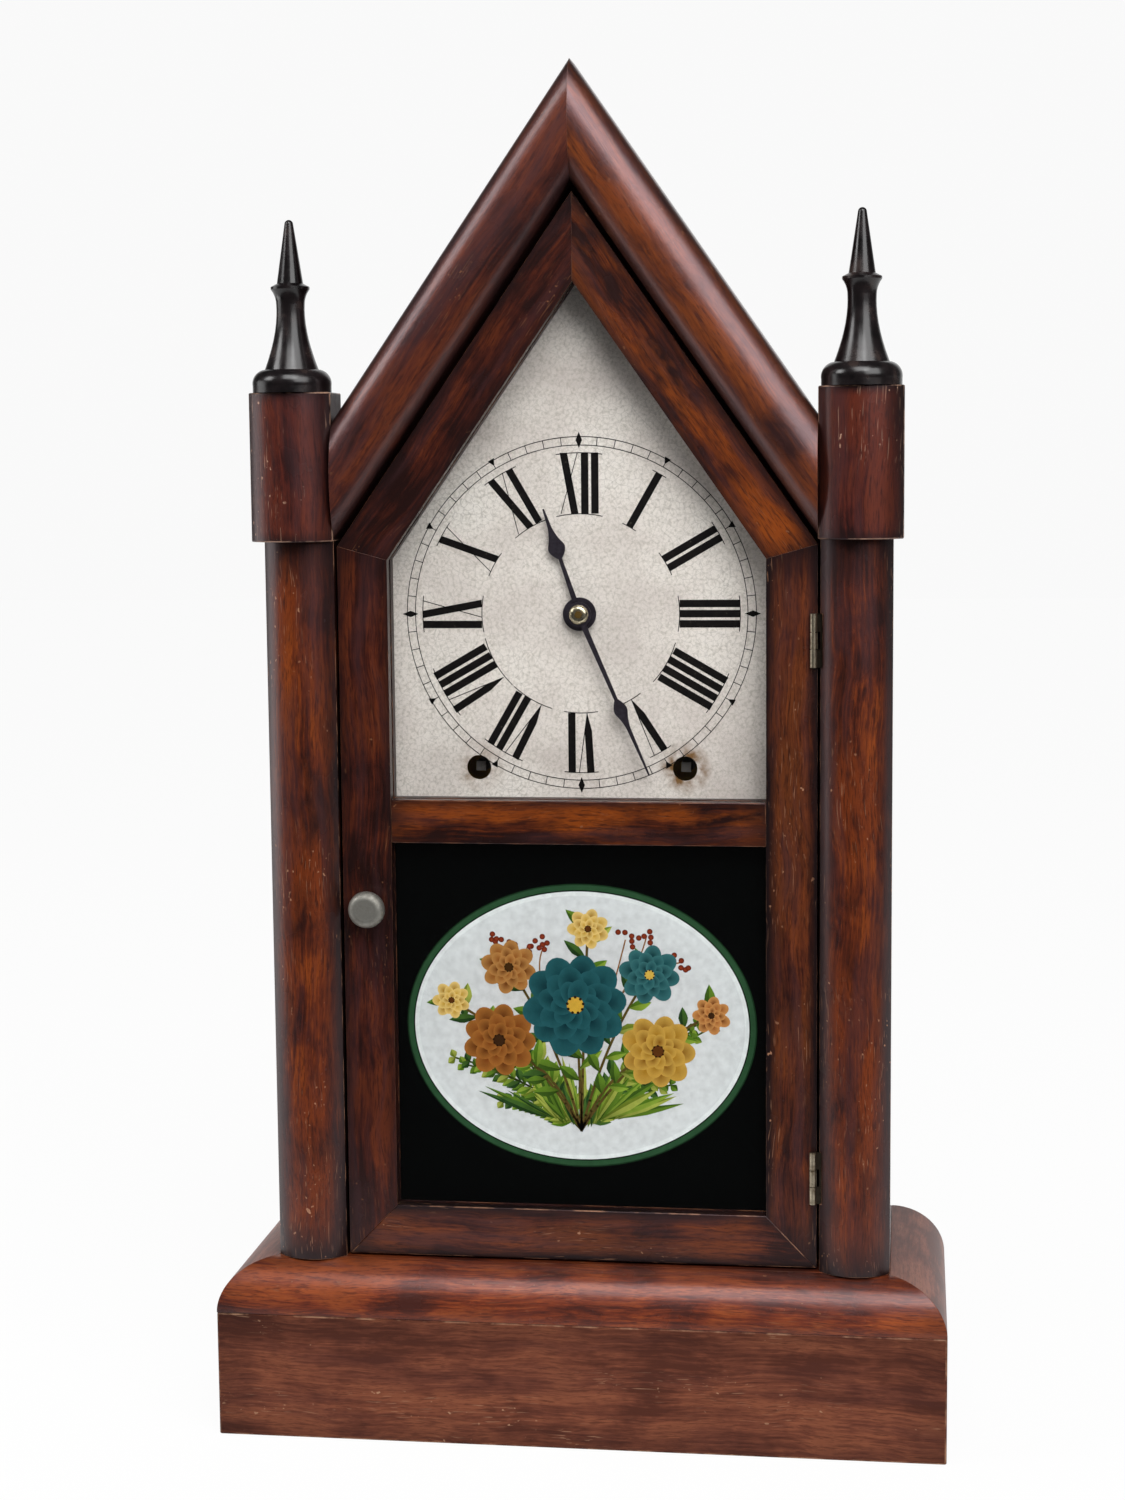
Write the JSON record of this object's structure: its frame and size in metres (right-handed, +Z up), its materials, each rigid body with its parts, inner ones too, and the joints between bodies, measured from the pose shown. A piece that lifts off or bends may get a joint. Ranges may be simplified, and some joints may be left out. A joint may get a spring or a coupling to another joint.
{
  "type": "shelf clock",
  "caption": "Wooden shelf clock with a pointed gable, turned finials, columns, a glazed door over a painted tablet, and a spring movement that keeps time and strikes.",
  "frame": {"origin": "middle of the underside of the base", "axes": "+Z up, front of the clock towards -Y, +X to the viewer's right"},
  "size_m": [0.2728, 0.104, 0.508],
  "materials": {
    "mahogany": "polished reddish-brown veneer",
    "pine": "bare softwood",
    "ebonised_wood": "turned wood, stained black",
    "clear_glass": "old window glass",
    "painted_glass": "glass painted behind, with an oval design on black",
    "dial_paint": "cream paint on sheet metal, aged",
    "blued_steel": "dark blued steel",
    "white_metal": "dull cast white metal",
    "brass": "satin brass",
    "steel": "satin steel",
    "cast_iron": "black cast iron"
  },
  "bodies": {
    "case": {"base_front": "mahogany", "base_sides": "mahogany", "base_mouldings": "mahogany", "base_top_board": "mahogany", "case_sides": "mahogany", "front_stiles": "mahogany", "gable_rails": "mahogany", "roof_boards": "mahogany", "columns": "mahogany", "caps": "mahogany", "gable_mouldings": "mahogany", "bottom_board": "pine", "base_back_rail": "pine", "backboard": "pine", "dial_battens": "pine", "finials": "ebonised_wood", "dial_plate": "dial_paint", "mainsprings": "blued_steel", "gong": "blued_steel", "hinge_case_leaves": "brass", "catch_plate": "brass", "dial_pins": "brass", "front_plate": "brass", "back_plate": "brass", "suspension_post": "brass", "pillars": "steel", "movement_feet": "steel", "wood_screws": "steel", "gong_base": "cast_iron"},
    "door": {"door_hinge_stile": "mahogany", "door_knob_stile": "mahogany", "door_bottom_rail": "mahogany", "door_middle_rail": "mahogany", "door_top_rails": "mahogany", "upper_glass": "clear_glass", "tablet_glass": "painted_glass", "glazing_beads": "pine", "hinge_door_leaves": "brass"},
    "latch": {"door_knob": "white_metal", "latch_tongue": "brass"},
    "minute": {"minute_hand": "blued_steel", "hand_nut": "brass", "cannon_pinion": "brass"},
    "minute_wheel": {"minute_wheel": "brass"},
    "hour": {"hour_hand": "blued_steel", "hour_wheel": "brass"},
    "escape": {"escape_wheel": "brass"},
    "third": {"third_wheel": "brass"},
    "centre": {"centre_wheel": "brass"},
    "second": {"second_wheel": "brass"},
    "time_main": {"time_main_wheel": "brass"},
    "time_winder": {"time_winding_arbor": "steel"},
    "strike_main": {"strike_main_wheel": "brass"},
    "strike_pin": {"strike_pin_wheel": "brass"},
    "strike_winder": {"strike_winding_arbor": "steel"},
    "verge": {"verge": "steel"},
    "pendulum": {"pendulum_rod": "steel", "pendulum_bob": "brass"},
    "hammer": {"hammer": "steel"}
  },
  "joints": [
    {"name": "door_swing", "type": "hinge", "parent": "case", "child": "door", "pos_m": [0.0869, -0.0366, 0.0662], "axis": [0, 0, 1], "range_deg": [0, 100]},
    {"name": "latch_turn", "type": "hinge", "parent": "door", "child": "latch", "pos_m": [-0.0783, -0.035, 0.20051], "axis": [0, 1, 0], "range_deg": [0, 90]},
    {"name": "minute_turn", "type": "hinge", "parent": "case", "child": "minute", "pos_m": [0, 0, 0.30919], "axis": [0, 1, 0], "continuous": true},
    {"name": "minute_wheel_turn", "type": "hinge", "parent": "case", "child": "minute_wheel", "pos_m": [0.01247, 0, 0.31639], "axis": [0, 1, 0], "continuous": true},
    {"name": "hour_turn", "type": "hinge", "parent": "case", "child": "hour", "pos_m": [0, 0, 0.30919], "axis": [0, 1, 0], "continuous": true},
    {"name": "escape_turn", "type": "hinge", "parent": "case", "child": "escape", "pos_m": [-0.02, 0, 0.32649], "axis": [0, 1, 0], "continuous": true},
    {"name": "third_turn", "type": "hinge", "parent": "case", "child": "third", "pos_m": [-0.0032, 0, 0.3307], "axis": [0, 1, 0], "continuous": true},
    {"name": "centre_turn", "type": "hinge", "parent": "case", "child": "centre", "pos_m": [0, 0, 0.30919], "axis": [0, 1, 0], "continuous": true},
    {"name": "second_turn", "type": "hinge", "parent": "case", "child": "second", "pos_m": [0.02023, 0, 0.28758], "axis": [0, 1, 0], "continuous": true},
    {"name": "time_main_turn", "type": "hinge", "parent": "case", "child": "time_main", "pos_m": [0.0388, 0, 0.25159], "axis": [0, 1, 0], "continuous": true},
    {"name": "time_wind", "type": "hinge", "parent": "case", "child": "time_winder", "pos_m": [0.0388, 0, 0.25159], "axis": [0, 1, 0], "continuous": true},
    {"name": "strike_main_turn", "type": "hinge", "parent": "case", "child": "strike_main", "pos_m": [-0.0388, 0, 0.25159], "axis": [0, 1, 0], "continuous": true},
    {"name": "strike_pin_turn", "type": "hinge", "parent": "case", "child": "strike_pin", "pos_m": [-0.05199, 0, 0.28988], "axis": [0, 1, 0], "continuous": true},
    {"name": "strike_wind", "type": "hinge", "parent": "case", "child": "strike_winder", "pos_m": [-0.0388, 0, 0.25159], "axis": [0, 1, 0], "continuous": true},
    {"name": "pendulum_swing", "type": "hinge", "parent": "case", "child": "pendulum", "pos_m": [-0.02, 0, 0.34499], "axis": [0, 1, 0], "range_deg": [-3, 3]},
    {"name": "verge_rock", "type": "hinge", "parent": "case", "child": "verge", "pos_m": [-0.02, 0, 0.34499], "axis": [0, 1, 0], "range_deg": [-3, 3]},
    {"name": "hammer_lift", "type": "hinge", "parent": "case", "child": "hammer", "pos_m": [-0.046, 0, 0.22199], "axis": [0, 1, 0], "range_deg": [0, 10]}
  ],
  "couplings": [
    {"joint": "minute_wheel_turn", "follows": "minute_turn", "ratio": -0.33333},
    {"joint": "hour_turn", "follows": "minute_turn", "ratio": 0.083333},
    {"joint": "third_turn", "follows": "escape_turn", "ratio": -0.1},
    {"joint": "centre_turn", "follows": "escape_turn", "ratio": 0.00875},
    {"joint": "second_turn", "follows": "escape_turn", "ratio": -0.0013672},
    {"joint": "time_main_turn", "follows": "escape_turn", "ratio": 0.0001709},
    {"joint": "strike_pin_turn", "follows": "strike_main_turn", "ratio": -8},
    {"joint": "verge_rock", "follows": "pendulum_swing", "ratio": 1}
  ]
}
